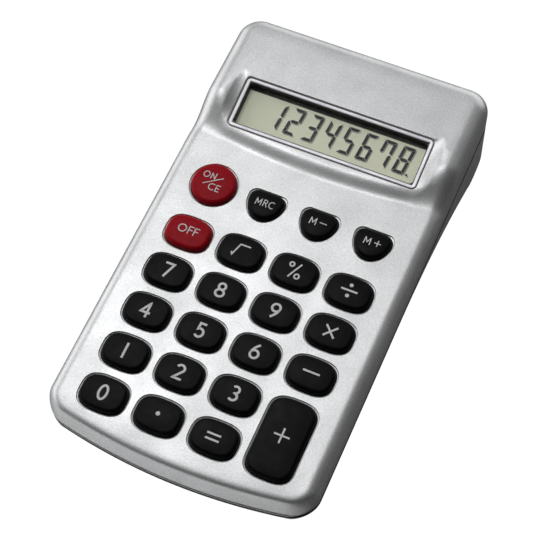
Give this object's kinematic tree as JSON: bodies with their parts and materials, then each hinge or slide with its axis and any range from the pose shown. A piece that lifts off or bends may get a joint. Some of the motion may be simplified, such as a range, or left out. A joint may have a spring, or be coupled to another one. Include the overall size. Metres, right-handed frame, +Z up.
{
  "type": "desk calculator",
  "caption": "Pocket-size desk calculator: wedge case in silver, raised display head with a segment display, grid of barrel-shaped keys, battery door at the back.",
  "frame": {"origin": "on the table, under the middle of the case's length and width", "axes": "+X to the user's right, +Y away from the user towards the display, +Z up"},
  "size_m": [0.0704, 0.1258, 0.0286],
  "materials": {
    "silver_paint": "silver metallic paint on ABS, satin with a fine grain",
    "bright_bezel": "bright satin silver plastic",
    "black_key": "soft-sheen black plastic with pale printed symbols",
    "red_key": "soft-sheen red plastic with pale printed symbols",
    "clear_window": "clear acrylic",
    "lcd_glass": "grey-green liquid crystal glass",
    "silicone": "moulded silicone",
    "board_green": "green solder mask",
    "black_plastic": "black plastic",
    "connector_rubber": "layered conductive rubber",
    "foot_rubber": "matt black rubber",
    "steel": "zinc-plated steel",
    "cell_jacket": "printed film sleeve",
    "red_insulation": "red vinyl insulation",
    "black_insulation": "black vinyl insulation"
  },
  "bodies": {
    "case": {"upper_case": "silver_paint", "lower_case": "silver_paint", "display_bezel": "bright_bezel", "display_window": "clear_window", "lcd_panel": "lcd_glass", "lcd_retainer": "black_plastic", "dome_mat": "silicone", "circuit_board": "board_green", "processor_chip": "black_plastic", "capacitor": "black_plastic", "display_connector": "connector_rubber", "case_screw_1": "steel", "case_screw_2": "steel", "case_screw_3": "steel", "case_screw_4": "steel", "board_screw_1": "steel", "board_screw_2": "steel", "battery_cell": "cell_jacket", "positive_contact": "steel", "negative_contact": "steel", "battery_spring": "steel", "battery_lead_positive": "red_insulation", "battery_lead_negative": "black_insulation", "foot_front_left": "foot_rubber", "foot_front_right": "foot_rubber", "foot_rear_left": "foot_rubber", "foot_rear_right": "foot_rubber"},
    "key_0": {"key_0": "black_key"},
    "key_decimal": {"key_decimal": "black_key"},
    "key_equals": {"key_equals": "black_key"},
    "key_plus": {"key_plus": "black_key"},
    "key_1": {"key_1": "black_key"},
    "key_2": {"key_2": "black_key"},
    "key_3": {"key_3": "black_key"},
    "key_4": {"key_4": "black_key"},
    "key_5": {"key_5": "black_key"},
    "key_6": {"key_6": "black_key"},
    "key_minus": {"key_minus": "black_key"},
    "key_7": {"key_7": "black_key"},
    "key_8": {"key_8": "black_key"},
    "key_9": {"key_9": "black_key"},
    "key_multiply": {"key_multiply": "black_key"},
    "key_off": {"key_off": "red_key"},
    "key_sqrt": {"key_sqrt": "black_key"},
    "key_percent": {"key_percent": "black_key"},
    "key_divide": {"key_divide": "black_key"},
    "key_on_clear": {"key_on_clear": "red_key"},
    "key_memory_recall": {"key_memory_recall": "black_key"},
    "key_memory_minus": {"key_memory_minus": "black_key"},
    "key_memory_plus": {"key_memory_plus": "black_key"},
    "battery_door": {"battery_door": "silver_paint"}
  },
  "joints": [
    {"name": "press_0", "type": "slide", "parent": "case", "child": "key_0", "axis": [0, -0.1323, 0.9912], "range_m": [-0.0012, 0], "stiffness_N_per_m": 500, "springref_m": 0.0005, "deforming": ["dome_mat"]},
    {"name": "press_decimal", "type": "slide", "parent": "case", "child": "key_decimal", "axis": [0, -0.1323, 0.9912], "range_m": [-0.0012, 0], "stiffness_N_per_m": 500, "springref_m": 0.0005, "deforming": ["dome_mat"]},
    {"name": "press_equals", "type": "slide", "parent": "case", "child": "key_equals", "axis": [0, -0.1323, 0.9912], "range_m": [-0.0012, 0], "stiffness_N_per_m": 500, "springref_m": 0.0005, "deforming": ["dome_mat"]},
    {"name": "press_plus", "type": "slide", "parent": "case", "child": "key_plus", "axis": [0, -0.1323, 0.9912], "range_m": [-0.0012, 0], "stiffness_N_per_m": 500, "springref_m": 0.0005, "deforming": ["dome_mat"]},
    {"name": "press_1", "type": "slide", "parent": "case", "child": "key_1", "axis": [0, -0.1323, 0.9912], "range_m": [-0.0012, 0], "stiffness_N_per_m": 500, "springref_m": 0.0005, "deforming": ["dome_mat"]},
    {"name": "press_2", "type": "slide", "parent": "case", "child": "key_2", "axis": [0, -0.1323, 0.9912], "range_m": [-0.0012, 0], "stiffness_N_per_m": 500, "springref_m": 0.0005, "deforming": ["dome_mat"]},
    {"name": "press_3", "type": "slide", "parent": "case", "child": "key_3", "axis": [0, -0.1323, 0.9912], "range_m": [-0.0012, 0], "stiffness_N_per_m": 500, "springref_m": 0.0005, "deforming": ["dome_mat"]},
    {"name": "press_4", "type": "slide", "parent": "case", "child": "key_4", "axis": [0, -0.1323, 0.9912], "range_m": [-0.0012, 0], "stiffness_N_per_m": 500, "springref_m": 0.0005, "deforming": ["dome_mat"]},
    {"name": "press_5", "type": "slide", "parent": "case", "child": "key_5", "axis": [0, -0.1323, 0.9912], "range_m": [-0.0012, 0], "stiffness_N_per_m": 500, "springref_m": 0.0005, "deforming": ["dome_mat"]},
    {"name": "press_6", "type": "slide", "parent": "case", "child": "key_6", "axis": [0, -0.1323, 0.9912], "range_m": [-0.0012, 0], "stiffness_N_per_m": 500, "springref_m": 0.0005, "deforming": ["dome_mat"]},
    {"name": "press_minus", "type": "slide", "parent": "case", "child": "key_minus", "axis": [0, -0.1323, 0.9912], "range_m": [-0.0012, 0], "stiffness_N_per_m": 500, "springref_m": 0.0005, "deforming": ["dome_mat"]},
    {"name": "press_7", "type": "slide", "parent": "case", "child": "key_7", "axis": [0, -0.1323, 0.9912], "range_m": [-0.0012, 0], "stiffness_N_per_m": 500, "springref_m": 0.0005, "deforming": ["dome_mat"]},
    {"name": "press_8", "type": "slide", "parent": "case", "child": "key_8", "axis": [0, -0.1323, 0.9912], "range_m": [-0.0012, 0], "stiffness_N_per_m": 500, "springref_m": 0.0005, "deforming": ["dome_mat"]},
    {"name": "press_9", "type": "slide", "parent": "case", "child": "key_9", "axis": [0, -0.1323, 0.9912], "range_m": [-0.0012, 0], "stiffness_N_per_m": 500, "springref_m": 0.0005, "deforming": ["dome_mat"]},
    {"name": "press_multiply", "type": "slide", "parent": "case", "child": "key_multiply", "axis": [0, -0.1323, 0.9912], "range_m": [-0.0012, 0], "stiffness_N_per_m": 500, "springref_m": 0.0005, "deforming": ["dome_mat"]},
    {"name": "press_off", "type": "slide", "parent": "case", "child": "key_off", "axis": [0, -0.1323, 0.9912], "range_m": [-0.0012, 0], "stiffness_N_per_m": 500, "springref_m": 0.0005, "deforming": ["dome_mat"]},
    {"name": "press_sqrt", "type": "slide", "parent": "case", "child": "key_sqrt", "axis": [0, -0.1323, 0.9912], "range_m": [-0.0012, 0], "stiffness_N_per_m": 500, "springref_m": 0.0005, "deforming": ["dome_mat"]},
    {"name": "press_percent", "type": "slide", "parent": "case", "child": "key_percent", "axis": [0, -0.1323, 0.9912], "range_m": [-0.0012, 0], "stiffness_N_per_m": 500, "springref_m": 0.0005, "deforming": ["dome_mat"]},
    {"name": "press_divide", "type": "slide", "parent": "case", "child": "key_divide", "axis": [0, -0.1323, 0.9912], "range_m": [-0.0012, 0], "stiffness_N_per_m": 500, "springref_m": 0.0005, "deforming": ["dome_mat"]},
    {"name": "press_on_clear", "type": "slide", "parent": "case", "child": "key_on_clear", "axis": [0, -0.1323, 0.9912], "range_m": [-0.0012, 0], "stiffness_N_per_m": 500, "springref_m": 0.0005, "deforming": ["dome_mat"]},
    {"name": "press_memory_recall", "type": "slide", "parent": "case", "child": "key_memory_recall", "axis": [0, -0.1323, 0.9912], "range_m": [-0.0012, 0], "stiffness_N_per_m": 500, "springref_m": 0.0005, "deforming": ["dome_mat"]},
    {"name": "press_memory_minus", "type": "slide", "parent": "case", "child": "key_memory_minus", "axis": [0, -0.1323, 0.9912], "range_m": [-0.0012, 0], "stiffness_N_per_m": 500, "springref_m": 0.0005, "deforming": ["dome_mat"]},
    {"name": "press_memory_plus", "type": "slide", "parent": "case", "child": "key_memory_plus", "axis": [0, -0.1323, 0.9912], "range_m": [-0.0012, 0], "stiffness_N_per_m": 500, "springref_m": 0.0005, "deforming": ["dome_mat"]},
    {"name": "door_slide", "type": "slide", "parent": "case", "child": "battery_door", "axis": [0, 0.9432, -0.3322], "range_m": [0, 0.012]}
  ]
}
